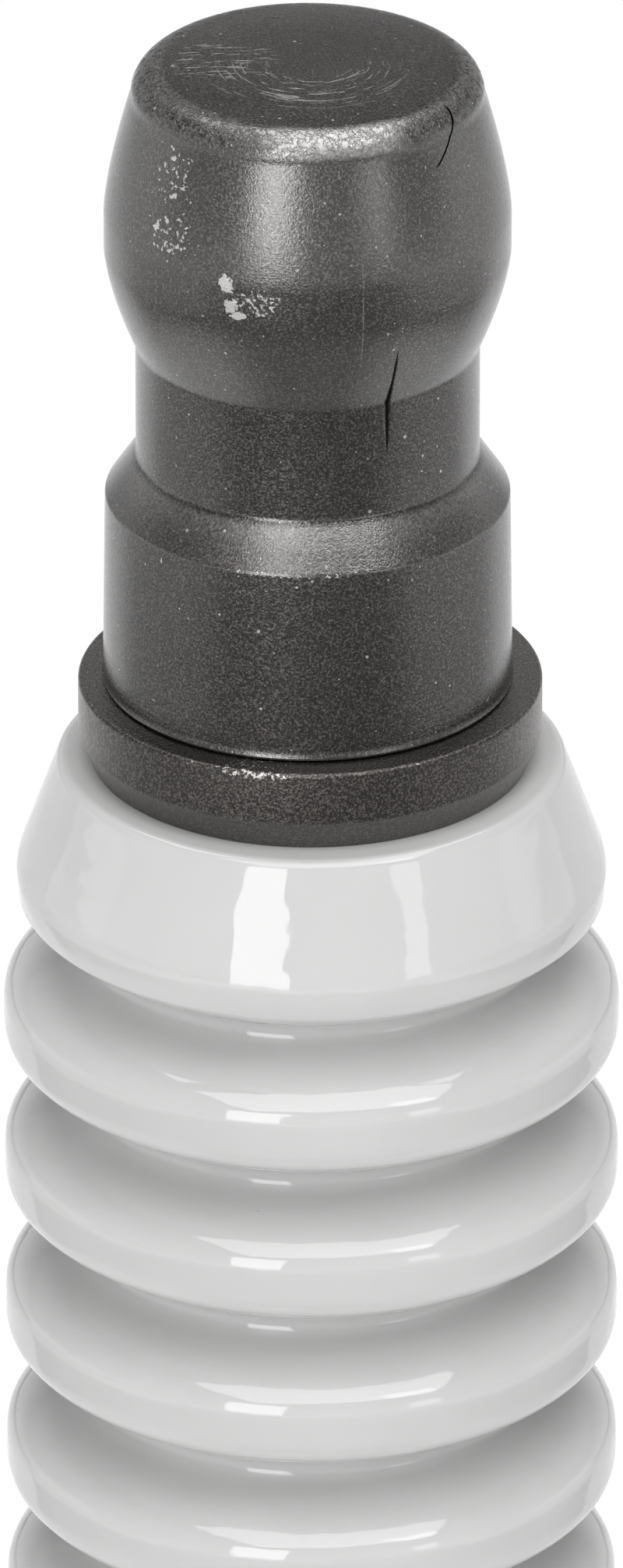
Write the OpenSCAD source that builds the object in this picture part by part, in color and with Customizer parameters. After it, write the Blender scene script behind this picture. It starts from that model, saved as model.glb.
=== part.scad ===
// Spark plug with a screw-on terminal nut, a five-rib insulator and a gasket seat.
// Millimetres. The origin is the centre of the face on which the gasket seals, and +Z points to the terminal.

/* [Overall] */
// Height of the terminal's top above the sealing face
terminal_top_z = 52; // [50:0.5:58]

/* [Thread] */
// Outer diameter of the mounting thread
thread_d = 9.9; // [9.8:0.05:9.95]
// Pitch of the mounting thread
thread_pitch = 1; // [0.75:0.25:1.25]
// Length of the shell below its seat
reach = 19; // [17:0.5:21]
// Length of the plain neck between the seat and the thread
neck_h = 2.35; // [2.05:0.05:3]
// Radius of the plain neck
neck_r = 4.32; // [4.25:0.01:4.4]

/* [Shell] */
// Hexagon width across flats
hex_flats = 16; // [15.8:0.1:16.2]
// Height of the hexagon
hex_h = 8; // [7:0.1:9]
// Height of the hexagon's lower face above the seat
hex_rise = 5.8; // [5.6:0.1:6.4]
// Radius of the round collar over the gasket
collar_r = 7.5; // [7.3:0.1:7.7]
// Height of the round collar
collar_h = 4; // [3.5:0.1:4.2]
// Outer radius of the thin groove between the collar and the hexagon
groove_r = 6.7; // [6.6:0.05:6.9]
// Radius of the chamber inside the hexagon
chamber_r = 6; // [5.95:0.01:6.05]
// Radius of the bore above the ledge
trunk_bore_r = 3.62; // [3.6:0.01:3.65]
// Radius of the bore around the insulator's nose
nose_bore_r = 3.5; // [3.4:0.05:3.55]
// Radius of the hole in the ledge that carries the insulator
ledge_r = 3.05; // [3:0.01:3.1]
// Depth of the ledge's rim below the seat
ledge_depth = 8.75; // [8.5:0.05:9.5]
// Wall thickness of the crimped lip
lip_t = 0.9; // [0.8:0.05:1]

/* [Gasket] */
// Thickness of the folded gasket
gasket_t = 1.5; // [1.5:0.1:1.8]
// Thickness of the gasket's sheet
sheet_t = 0.3; // [0.2:0.05:0.35]
// Inner radius of the gasket
gasket_in_r = 4.75; // [4.7:0.01:4.8]
// Outer radius of the gasket
gasket_out_r = 7.15; // [7:0.05:7.3]

/* [Insulator] */
// Radius of the ribs
rib_r = 4.87; // [4.8:0.01:4.9]
// Radius of the plain barrel inside the hexagon
barrel_r = 4.78; // [4.7:0.01:4.79]
// Radius of the topmost rib
top_rib_r = 4.7; // [4.6:0.01:4.8]
// Distance between ribs
rib_pitch = 2.575; // [2.4:0.025:2.6]
// Depth of the valleys between ribs
rib_depth = 1.2; // [0.6:0.05:1.3]
// Flatness of the crests against the width of the valleys
rib_sharpness = 4.3; // [3:0.1:5]
// Number of ribs
ribs = 5; // [4:1:5]
// Radius at the insulator's top edge
top_edge_r = 3.97; // [3.9:0.01:4]
// Radius of the shoulder held inside the hexagon
shoulder_r = 5.8; // [5.7:0.01:5.85]
// Radius of the trunk inside the thread
trunk_r = 3.55; // [3.52:0.01:3.57]
// Radius of the nose at its root
nose_root_r = 2.65; // [2.5:0.05:2.7]
// Radius of the nose at its tip
nose_tip_r = 1.8; // [1.7:0.05:2]
// Length of the nose beyond the shell
nose_out = 1.7; // [1:0.1:2]
// Radius of the bore for the terminal stud
stud_bore_r = 1.5; // [1.48:0.01:1.6]

/* [Terminal] */
// Largest radius of the nut's head and of its collar
nut_r = 3.175; // [3.15:0.005:3.2]
// Radius of the nut's waist
waist_r = 2.69; // [2.6:0.01:2.8]
// Radius of the nut's flat top
nut_top_r = 2.3; // [2.2:0.01:2.5]
// Radius of the rounding at the top edge
nut_top_round = 0.45; // [0.3:0.05:0.5]
// Radius of the nut's bore
nut_bore_r = 2.02; // [2.01:0.01:2.04]
// Outer radius of the stud's thread
stud_thread_r = 1.98; // [1.95:0.01:1.98]
// Pitch of the stud's thread
stud_pitch = 0.7; // [0.5:0.1:0.7]
// Radius of the stud's flange
flange_r = 3.65; // [3.5:0.01:3.7]
// Radius of the stud's shank
shank_r = 1.35; // [1.3:0.01:1.4]

/* [Firing end] */
// Radius of the centre electrode
electrode_r = 1.13; // [1.1:0.01:1.2]
// Length of the centre electrode beyond the insulator
electrode_out = 1.1; // [0.8:0.1:1.5]
// Radius of the copper core
core_r = 0.6; // [0.5:0.05:0.7]
// Spark gap
gap = 0.8; // [0.6:0.1:1]
// Thickness of the ground electrode
strap_t = 1.1; // [1:0.1:1.2]
// Width of the ground electrode
strap_w = 2.2; // [2:0.1:2.4]
// Inner radius of the ground electrode's bend
strap_bend_r = 1; // [0.8:0.1:1.2]
// Length of the ground electrode past the plug's axis
strap_past = 1.2; // [0.8:0.1:1.4]

/* [Hidden] */

round_fn = 96;
curve_steps = 8;

// Small gaps between pieces that are pressed or bonded together, and under the two loose ones.
slip = 0.02;
seal_slip = 0.01;
gasket_play = 0.05;

// How far a cut runs past the face that it opens.
cut_past = 1;

// Heights of the shell.
seat_z = gasket_t + gasket_play;
shell_end_z = seat_z - reach;
thread_top_z = seat_z - neck_h;
hex_z = seat_z + hex_rise;
hex_top_z = hex_z + hex_h;
collar_chamfer = 0.4;
groove_slope = 0.5;
end_chamfer = 0.6;
end_step = 0.1;
hex_chamfer_angle = 30;
hex_corner_r = hex_flats / 2 / cos(30);
hex_washer_r = hex_flats / 2 - 0.15;
ledge_z = seat_z - ledge_depth;
ledge_rim_h = 1.3;
chamber_floor_z = seat_z + 1.7;
chamber_slope_h = 1.6;

// A thread's 60 degree form, as shares of its pitch.
crest_share = 1 / 8;
flank_share = 5 / 16;
form_depth_share = 0.5413;
thread_root_r = thread_d / 2 - form_depth_share * thread_pitch;
end_face_r = thread_root_r - end_step;
thread_turns = floor((thread_top_z - shell_end_z - end_chamfer) / thread_pitch);

// Packing between the insulator's barrel and the chamber.
packing_gap = 0.05;
wire_r = (chamber_r - barrel_r) / 2 - packing_gap;
wire_path_r = (chamber_r + barrel_r) / 2;
shoulder_top_z = seat_z + 9.1;
lower_ring_z = shoulder_top_z + shoulder_r - wire_path_r + (wire_r + seal_slip) * sqrt(2);
upper_ring_z = hex_top_z + 0.5;
lip_top_z = upper_ring_z + wire_r + lip_t;
lip_clear = 0.18;
barrel_z = lip_top_z + 0.3;

// Heights of the terminal, counted down from its top.
head_band_h = 0.6;
head_z = terminal_top_z - 2.78;
waist_top_z = terminal_top_z - 4.7;
waist_bottom_z = terminal_top_z - 6.59;
nut_collar_z = terminal_top_z - 7.3;
nut_bottom_z = terminal_top_z - 10.48;
flange_top_z = nut_bottom_z - slip;
flange_side_z = terminal_top_z - 11.36;
insulator_top_z = terminal_top_z - 11.86;
flange_foot_r = flange_r - 0.2;
nut_bore_h = 8.7;
drill_tip_h = 0.6;
stud_thread_h = 8.2;
stud_chamfer = 0.4;
stud_root_r = stud_thread_r - form_depth_share * stud_pitch;

// Heights of the insulator.
top_rib_z = terminal_top_z - 13.8;
second_rib_z = terminal_top_z - 16.29;
valley_r = rib_r - rib_depth;
top_edge_round = 0.25;
rib_edge_h = 0.1;
rib_edge_r = 0.06;
shoulder_floor_z = chamber_floor_z + 0.4;
shoulder_slope_h = 1.5;
nose_root_z = ledge_z - ledge_rim_h - 0.5;
nose_tip_z = shell_end_z - nose_out;
nose_tip_round = 0.3;
electrode_bore_r = electrode_r + slip;
electrode_seat_z = -3;

// The two cones that squeeze the seat washer rise at 45 degrees.
washer_rise = 0.35;
washer_in_r = ledge_r + 0.04;
washer_out_r = trunk_r - 0.02;

// The stack inside the insulator, from the electrode's head to the stud.
head_r = stud_bore_r - slip;
head_h = 1.5;
head_post_r = 0.95;
head_post_h = 0.8;
lower_seal_top_z = 1.9;
resistor_top_z = 9.4;
upper_seal_top_z = 12.2;
stud_bottom_z = 10.6;
knurl_h = 5.6;
knurl_pitch = 0.7;
knurl_depth = 0.15;
knurl_crest_r = shank_r + knurl_depth / 2;
fill_r = stud_bore_r - seal_slip;

// The firing end.
electrode_tip_z = nose_tip_z - electrode_out;
electrode_tip_chamfer = 0.12;
core_end_z = electrode_tip_z + 3;
strap_top_z = electrode_tip_z - gap;
strap_out_x = -end_face_r;
strap_bend_x = strap_out_x + strap_t + strap_bend_r;
strap_bend_z = strap_top_z + strap_bend_r;

// Points of a thread with its crests as rings, going up from z0.
function thread_points(crest, root, pitch, turns, z0) = [
  for (i = [0 : turns - 1])
    let (z = z0 + i * pitch)
      each [
        [root, z],
        [crest, z + flank_share * pitch],
        [crest, z + (flank_share + crest_share) * pitch],
        [root, z + (2 * flank_share + crest_share) * pitch]
      ]
];

// Points on a circular arc from angle a0 to a1.
function arc(r, x, z, a0, a1, steps) = [
  for (i = [0 : steps])
    let (a = a0 + (a1 - a0) * i / steps)
      [x + r * cos(a), z + r * sin(a)]
];

// Points on a side that leaves r0 and levels out at r1, going from z0 to z1.
function swell(r0, r1, z0, z1, power) = [
  for (i = [0 : curve_steps])
    let (t = i / curve_steps)
      [r1 - (r1 - r0) * pow(1 - t, power), z0 + (z1 - z0) * t]
];

// Points on a rib's flank from its crest to the valley, whichever way it goes.
function flank(crest, crest_z, valley, valley_z) = [
  for (i = [0 : curve_steps])
    let (t = i / curve_steps)
      [crest - (crest - valley) * pow(sin(90 * t), rib_sharpness), crest_z + (valley_z - crest_z) * t]
];

function reversed(points) = [for (i = [len(points) - 1 : -1 : 0]) points[i]];

// A solid of revolution from points in (radius, height).
module turned(points) {
  rotate_extrude($fn = round_fn)
    polygon(points);
}

module ring_wire(z) {
  rotate_extrude($fn = round_fn)
    translate([wire_path_r, z])
      circle(r = wire_r, $fn = 32);
}

module terminal_nut() {
  head_top = head_z + head_band_h / 2;
  head_bottom = head_z - head_band_h / 2;
  shoulder = nut_top_r + nut_top_round;
  color("dimgray")
    turned(concat(
      [[0, nut_bottom_z + nut_bore_h + drill_tip_h], [nut_bore_r, nut_bottom_z + nut_bore_h]],
      [[nut_bore_r, nut_bottom_z], [nut_r, nut_bottom_z], [nut_r, nut_collar_z]],
      [[waist_r, waist_bottom_z]],
      swell(waist_r, nut_r, waist_top_z, head_bottom, 1.5),
      reversed(swell(shoulder, nut_r, terminal_top_z - nut_top_round, head_top, 1.4)),
      arc(nut_top_round, nut_top_r, terminal_top_z - nut_top_round, 0, 90, curve_steps),
      [[0, terminal_top_z]]
    ));
}

module terminal_stud() {
  turns = floor((stud_thread_h - stud_chamfer) / stud_pitch);
  knurls = floor(knurl_h / knurl_pitch);
  color("gray")
    turned(concat(
      [[0, stud_bottom_z]],
      thread_points(knurl_crest_r, knurl_crest_r - knurl_depth, knurl_pitch, knurls, stud_bottom_z),
      [[shank_r, stud_bottom_z + knurl_h], [shank_r, insulator_top_z]],
      [[flange_foot_r, insulator_top_z], [flange_r, flange_side_z], [flange_r, flange_top_z]],
      thread_points(stud_thread_r, stud_root_r, stud_pitch, turns, flange_top_z),
      [[stud_root_r - stud_chamfer, flange_top_z + stud_thread_h], [0, flange_top_z + stud_thread_h]]
    ));
}

module insulator() {
  last_valley_z = second_rib_z - (ribs - 1.5) * rib_pitch;
  barrel_top_z = last_valley_z - rib_pitch / 2;
  edge_z = top_rib_z + rib_edge_h;
  color("gainsboro")
    turned(concat(
      [[stud_bore_r, insulator_top_z], [top_edge_r - top_edge_round, insulator_top_z]],
      [[top_edge_r, insulator_top_z - top_edge_round], [top_rib_r - rib_edge_r, edge_z]],
      flank(top_rib_r, top_rib_z, valley_r, second_rib_z + rib_pitch / 2),
      [
        for (i = [0 : ribs - 2])
          let (z = second_rib_z - i * rib_pitch)
            each concat(
              reversed(flank(rib_r, z, valley_r, z + rib_pitch / 2)),
              flank(rib_r, z, valley_r, z - rib_pitch / 2)
            )
      ],
      reversed(flank(rib_r, barrel_top_z, valley_r, last_valley_z)),
      [[barrel_r, barrel_z], [barrel_r, shoulder_top_z + shoulder_r - barrel_r]],
      [[shoulder_r, shoulder_top_z]],
      [[shoulder_r, shoulder_floor_z + shoulder_slope_h], [trunk_r, shoulder_floor_z]],
      [[trunk_r, ledge_z + washer_rise + trunk_r - ledge_r]],
      [[nose_root_r, ledge_z + washer_rise + nose_root_r - ledge_r], [nose_root_r, nose_root_z]],
      [[nose_tip_r, nose_tip_z + nose_tip_round]],
      arc(nose_tip_round, nose_tip_r - nose_tip_round, nose_tip_z + nose_tip_round, 0, -90, curve_steps),
      [[electrode_bore_r, nose_tip_z], [electrode_bore_r, electrode_seat_z]],
      [[stud_bore_r, electrode_seat_z + stud_bore_r - electrode_bore_r]]
    ));
}

module upper_glass_seal() {
  color("darkslategray")
    difference() {
      translate([0, 0, resistor_top_z])
        cylinder(r = fill_r, h = upper_seal_top_z - resistor_top_z, $fn = round_fn);
      translate([0, 0, stud_bottom_z])
        cylinder(r = knurl_crest_r, h = upper_seal_top_z - stud_bottom_z + cut_past, $fn = round_fn);
    }
}

module resistor() {
  color("black")
    translate([0, 0, lower_seal_top_z])
      cylinder(r = fill_r, h = resistor_top_z - lower_seal_top_z, $fn = round_fn);
}

module lower_glass_seal() {
  head_top_z = electrode_seat_z + head_h;
  color("darkslategray")
    difference() {
      translate([0, 0, head_top_z])
        cylinder(r = fill_r, h = lower_seal_top_z - head_top_z, $fn = round_fn);
      translate([0, 0, head_top_z - head_post_h])
        cylinder(r = head_post_r, h = 2 * head_post_h, $fn = round_fn);
    }
}

module center_electrode() {
  head_top_z = electrode_seat_z + head_h;
  post_top_z = head_top_z + head_post_h;
  color("darkgray")
    turned([
      [0, electrode_tip_z],
      [electrode_r - electrode_tip_chamfer, electrode_tip_z],
      [electrode_r, electrode_tip_z + electrode_tip_chamfer],
      [electrode_r, electrode_seat_z],
      [head_r, electrode_seat_z + head_r - electrode_r],
      [head_r, head_top_z],
      [head_post_r, head_top_z],
      [head_post_r, post_top_z],
      [core_r, post_top_z],
      [core_r, core_end_z + core_r],
      [0, core_end_z]
    ]);
}

module center_electrode_core() {
  post_top_z = electrode_seat_z + head_h + head_post_h;
  color("peru")
    turned([[0, core_end_z], [core_r, core_end_z + core_r], [core_r, post_top_z], [0, post_top_z]]);
}

// The hexagon with both ends chamfered to a circle.
module hexagon() {
  drop = (hex_corner_r - hex_washer_r) * tan(hex_chamfer_angle);
  intersection() {
    translate([0, 0, hex_z])
      rotate([0, 0, 30])
        cylinder(r = hex_corner_r, h = hex_h, $fn = 6);
    turned([
      [0, hex_z],
      [hex_washer_r, hex_z],
      [hex_corner_r, hex_z + drop],
      [hex_corner_r, hex_top_z - drop],
      [hex_washer_r, hex_top_z],
      [0, hex_top_z]
    ]);
  }
}

// Outside of the shell without its hexagon, from the thread's end to the lip.
module shell_outside() {
  collar_top_z = seat_z + collar_h;
  turned(concat(
    [[0, shell_end_z], [end_face_r, shell_end_z]],
    thread_points(thread_d / 2, thread_root_r, thread_pitch, thread_turns, shell_end_z + end_chamfer),
    [[neck_r, thread_top_z], [neck_r, seat_z], [collar_r - collar_chamfer, seat_z]],
    [[collar_r, seat_z + collar_chamfer], [collar_r, collar_top_z - collar_chamfer]],
    [[collar_r - collar_chamfer, collar_top_z], [groove_r, collar_top_z + groove_slope]],
    [[groove_r, hex_z - groove_slope], [groove_r + groove_slope, hex_z]],
    arc(wire_r + lip_t, wire_path_r, upper_ring_z, 0, 90, curve_steps),
    [[0, lip_top_z]]
  ));
}

// Space inside the shell, from the firing end to the lip.
module shell_inside() {
  lip_r = barrel_r + lip_clear;
  lip_gap = wire_r + packing_gap;
  turned(concat(
    [[0, shell_end_z - cut_past], [nose_bore_r, shell_end_z - cut_past]],
    [[nose_bore_r, ledge_z - ledge_rim_h]],
    [[ledge_r, ledge_z - ledge_rim_h + nose_bore_r - ledge_r], [ledge_r, ledge_z]],
    [[trunk_bore_r, ledge_z + trunk_bore_r - ledge_r], [trunk_bore_r, chamber_floor_z]],
    [[chamber_r, chamber_floor_z + chamber_slope_h]],
    arc(lip_gap, wire_path_r, upper_ring_z, 0, 90, curve_steps),
    [[lip_r, upper_ring_z + lip_gap], [lip_r, lip_top_z + cut_past], [0, lip_top_z + cut_past]]
  ));
}

module shell() {
  color("silver")
    difference() {
      union() {
        shell_outside();
        hexagon();
      }
      shell_inside();
    }
}

module seat_packing_washer() {
  in_z = ledge_z + washer_in_r - ledge_r;
  out_z = ledge_z + washer_out_r - ledge_r;
  color("slategray")
    turned([
      [washer_in_r, in_z + seal_slip],
      [washer_out_r, out_z + seal_slip],
      [washer_out_r, out_z + washer_rise - seal_slip],
      [washer_in_r, in_z + washer_rise - seal_slip]
    ]);
}

module lower_packing_ring() {
  color("slategray")
    ring_wire(lower_ring_z);
}

module upper_packing_ring() {
  color("slategray")
    ring_wire(upper_ring_z);
}

// The powder fills the space between the two wire rings.
module talc_seal() {
  bite = wire_r / 2;
  color("linen")
    difference() {
      turned([
        [barrel_r + seal_slip, lower_ring_z + bite],
        [chamber_r - seal_slip, lower_ring_z + bite],
        [chamber_r - seal_slip, upper_ring_z - bite],
        [barrel_r + seal_slip, upper_ring_z - bite]
      ]);
      for (z = [lower_ring_z, upper_ring_z])
        rotate_extrude($fn = round_fn)
          translate([wire_path_r, z])
            circle(r = wire_r + seal_slip, $fn = 32);
    }
}

module ground_electrode() {
  color("darkgray") {
    translate([strap_out_x, -strap_w / 2, strap_bend_z])
      cube([strap_t, strap_w, shell_end_z - strap_bend_z]);
    translate([strap_bend_x, strap_w / 2, strap_bend_z])
      rotate([90, 0, 0])
        rotate([0, 0, 180])
          linear_extrude(height = strap_w)
            intersection() {
              difference() {
                circle(r = strap_bend_r + strap_t, $fn = round_fn);
                circle(r = strap_bend_r, $fn = round_fn);
              }
              square(strap_bend_r + strap_t);
            }
    translate([strap_bend_x, -strap_w / 2, strap_top_z - strap_t])
      cube([strap_past - strap_bend_x, strap_w, strap_t]);
  }
}

// A sheet folded twice: the lower bend is outside and the upper bend is inside.
module gasket() {
  gap_h = (gasket_t - 3 * sheet_t) / 2;
  bend_r = gap_h / 2 + sheet_t;
  low_z = bend_r;
  high_z = gasket_t - bend_r;
  color("darkgray")
    rotate_extrude($fn = round_fn)
      union() {
        for (i = [0 : 2])
          translate([gasket_in_r + bend_r, i * (gap_h + sheet_t)])
            square([gasket_out_r - gasket_in_r - 2 * bend_r, sheet_t]);
        translate([gasket_out_r - bend_r, low_z])
          gasket_bend(bend_r, 0);
        translate([gasket_in_r + bend_r, high_z])
          gasket_bend(bend_r, -bend_r);
      }
}

// Half of a ring of sheet, on the side that starts at x.
module gasket_bend(r, x) {
  intersection() {
    difference() {
      circle(r = r, $fn = 32);
      circle(r = r - sheet_t, $fn = 32);
    }
    translate([x, -r])
      square([r, 2 * r]);
  }
}

terminal_nut();
terminal_stud();
insulator();
upper_glass_seal();
resistor();
lower_glass_seal();
center_electrode();
center_electrode_core();
shell();
seat_packing_washer();
lower_packing_ring();
talc_seal();
upper_packing_ring();
ground_electrode();
gasket();
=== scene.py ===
"""Looks for a spark plug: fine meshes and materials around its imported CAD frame."""

import math

import bmesh
import bpy
import numpy as np
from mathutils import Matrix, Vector, noise


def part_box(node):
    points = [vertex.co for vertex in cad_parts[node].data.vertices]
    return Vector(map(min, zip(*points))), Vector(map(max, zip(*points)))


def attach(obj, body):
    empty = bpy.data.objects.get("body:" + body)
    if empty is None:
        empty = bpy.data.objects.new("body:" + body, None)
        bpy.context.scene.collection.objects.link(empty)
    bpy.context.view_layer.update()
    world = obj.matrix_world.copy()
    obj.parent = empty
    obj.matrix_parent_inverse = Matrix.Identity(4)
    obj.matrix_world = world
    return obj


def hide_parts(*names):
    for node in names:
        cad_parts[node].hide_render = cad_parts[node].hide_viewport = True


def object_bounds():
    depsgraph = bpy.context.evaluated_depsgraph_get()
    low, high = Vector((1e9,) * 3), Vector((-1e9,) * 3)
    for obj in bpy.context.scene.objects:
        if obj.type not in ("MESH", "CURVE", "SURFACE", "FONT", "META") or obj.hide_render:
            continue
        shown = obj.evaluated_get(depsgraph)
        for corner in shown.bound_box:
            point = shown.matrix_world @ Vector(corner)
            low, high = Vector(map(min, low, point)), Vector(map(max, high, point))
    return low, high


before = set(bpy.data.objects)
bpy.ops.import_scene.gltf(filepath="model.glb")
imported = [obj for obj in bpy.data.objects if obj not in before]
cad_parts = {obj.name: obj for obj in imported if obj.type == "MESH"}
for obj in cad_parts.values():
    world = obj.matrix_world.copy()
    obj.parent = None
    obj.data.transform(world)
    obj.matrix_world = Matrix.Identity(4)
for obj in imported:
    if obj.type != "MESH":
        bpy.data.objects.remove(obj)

# Outlines are in millimetres, as (radius, height) pairs, and the meshes are in metres.
MM = 0.001
CAD_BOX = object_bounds()
TOP = CAD_BOX[1].z / MM

MERGE_DISTANCE = 1e-7
SHARP_ANGLE = math.radians(38)
COLUMNS = 192
ROUND = np.linspace(0, 2 * math.pi, COLUMNS, endpoint=False)

# The 60 degree thread form: its depth as a share of the pitch, and where its rows lie in one pitch.
THREAD_DEPTH = 0.5413
THREAD_ROWS = (0, 0.1, 0.14, 0.22, 0.33, 0.41, 0.455, 0.545, 0.59, 0.67, 0.78, 0.86, 0.9)
CREST_HALF = 1 / 16
FLANK = 5 / 16

# Sizes that several pieces share.
SEAT_Z = 1.55
LEDGE_Z = SEAT_Z - 8.75
RIB_R = 4.87
LIP_R = 4.96
TRUNK_R = 3.55
NOSE_BORE_R = 3.5
STUD_BORE_R = 1.5
ELECTRODE_SEAT_Z = -3
FLANGE_DROP = 8.2


# ---------------------------------------------------------------- outlines


def box_mm(node):
    """The lowest and highest corner of a CAD node in millimetres."""
    low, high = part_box(node)
    return low / MM, high / MM


def arc(radius, r, z, start, end, steps=10):
    """Points on an arc about (r, z), between two angles in degrees."""
    angles = np.radians(np.linspace(start, end, steps + 1))
    return [(r + radius * math.cos(a), z + radius * math.sin(a)) for a in angles]


def side(start, end, steps):
    """Points along a straight side, with both of its ends."""
    return [tuple(np.array(start) + (np.array(end) - np.array(start)) * i / steps) for i in range(steps + 1)]


def swell(r0, r1, z0, z1, power, steps=28):
    """Points on a side that leaves r0 and levels out at r1, going from z0 to z1."""
    return [(r1 - (r1 - r0) * (1 - t) ** power, z0 + (z1 - z0) * t) for t in np.linspace(0, 1, steps + 1)]


def flank(crest, crest_z, valley, valley_z, power=4.3, steps=22):
    """Points on a rib's flank from its crest to the valley."""
    shares = np.linspace(0, 1, steps + 1)
    return [
        (crest - (crest - valley) * math.sin(math.pi / 2 * t) ** power, crest_z + (valley_z - crest_z) * t)
        for t in shares
    ]


def rounded(corners, steps=5):
    """An open outline whose corners (r, z, radius) are rounded. A corner with no radius stays sharp."""
    outline = []
    for i, corner in enumerate(corners):
        here = np.array(corner[:2], float)
        if len(corner) == 2 or i in (0, len(corners) - 1):
            outline.append(tuple(here))
            continue
        back = np.array(corners[i - 1][:2], float) - here
        on = np.array(corners[i + 1][:2], float) - here
        back /= np.linalg.norm(back)
        on /= np.linalg.norm(on)
        half = math.acos(np.clip(back @ on, -1, 1)) / 2
        middle = here + (back + on) / np.linalg.norm(back + on) * corner[2] / math.sin(half)
        start = here + back * corner[2] / math.tan(half) - middle
        end = here + on * corner[2] / math.tan(half) - middle
        swing = math.atan2(start[0] * end[1] - start[1] * end[0], start @ end)
        for a in np.linspace(0, swing, steps + 1):
            spin = np.array([[math.cos(a), -math.sin(a)], [math.sin(a), math.cos(a)]])
            outline.append(tuple(middle + spin @ start))
    return outline


def thread_form(phase):
    """Height of the thread's form, from 0 at its root to 1 at its crest, with soft corners."""
    height = np.clip((CREST_HALF + FLANK - abs(phase - 0.5)) / FLANK, 0, 1)
    soft = height * height * (3 - 2 * height)
    return 0.7 * height + 0.3 * soft


def ease(value):
    """A smooth step from 0 to 1."""
    value = np.clip(value, 0, 1)
    return value * value * (3 - 2 * value)


class Turned:
    """Rows of points round the axis, from one end of a piece's outline to the other."""

    def __init__(self, angles=ROUND):
        self.angles = angles
        self.rows = []
        self.coils = []

    def add(self, points):
        self.rows += points

    def thread(self, low, high, pitch, radius):
        """A right-hand thread that climbs from low to high. radius(form, height) gives its surface."""
        first = len(self.rows)
        climb = self.angles / (2 * math.pi)
        for turn in range(math.ceil((high - low) / pitch) + 1):
            for phase in THREAD_ROWS:
                height = np.clip(low + pitch * (turn - 1 + phase + climb), low, high)
                self.rows.append((radius(thread_form(phase), height), height))
        top = np.full(climb.shape, high)
        self.rows.append((radius(0, top), top))
        self.coils.append((first, len(self.rows) - 1))

    def points(self):
        """The rows as an array of points in millimetres."""
        shape = self.angles.shape
        radii = np.array([np.broadcast_to(r, shape) for r, _ in self.rows], float)
        heights = np.array([np.broadcast_to(z, shape) for _, z in self.rows], float)
        return np.stack([radii * np.cos(self.angles), radii * np.sin(self.angles), heights], axis=-1)

    def mesh(self, name, closed=False, shape=None):
        """The mesh through the rows. shape(points) may move the points, in millimetres."""
        points = self.points()
        if shape is not None:
            points = shape(points)
        index = np.arange(points[..., 0].size).reshape(points.shape[:2])
        seam = np.arange(len(self.rows))
        for first, last in self.coils:
            seam[first:last + 1] = np.minimum(seam[first:last + 1] + len(THREAD_ROWS), last)
        beside = np.roll(index, -1, axis=1)
        beside[:, -1] = index[seam, 0]
        if closed:
            index, beside = np.concatenate([index, index[:1]]), np.concatenate([beside, beside[:1]])
        return finished(name, points.reshape(-1, 3), quads_between(index, beside))


def quads_between(index, beside):
    """Quads between neighbouring rows of points, where beside holds each point's neighbour in its row."""
    return np.stack([index[:-1], beside[:-1], beside[1:], index[1:]], axis=-1).reshape(-1, 4).tolist()


def finished(name, points, faces):
    """A mesh with doubled points merged, faces turned outward and its soft edges smooth."""
    mesh = bpy.data.meshes.new(name)
    mesh.from_pydata(points * MM, [], faces)
    work = bmesh.new()
    work.from_mesh(mesh)
    bmesh.ops.remove_doubles(work, verts=work.verts, dist=MERGE_DISTANCE)
    bmesh.ops.recalc_face_normals(work, faces=work.faces)
    work.to_mesh(mesh)
    work.free()
    mesh.polygons.foreach_set("use_smooth", [True] * len(mesh.polygons))
    mesh.set_sharp_from_angle(angle=SHARP_ANGLE)
    return mesh


def show(mesh, body, node, look):
    """The mesh as a piece that stands for its CAD node and rides on the node's body."""
    piece = bpy.data.objects.new(mesh.name, mesh)
    bpy.context.scene.collection.objects.link(piece)
    mesh.materials.append(look)
    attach(piece, body)
    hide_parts(node)


def sideways(shift):
    """Moves a piece a little off the axis, in millimetres, as its play lets it."""

    def shape(points):
        return points + np.array([shift, 0, 0])

    return shape


# ---------------------------------------------------------------- pieces


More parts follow.
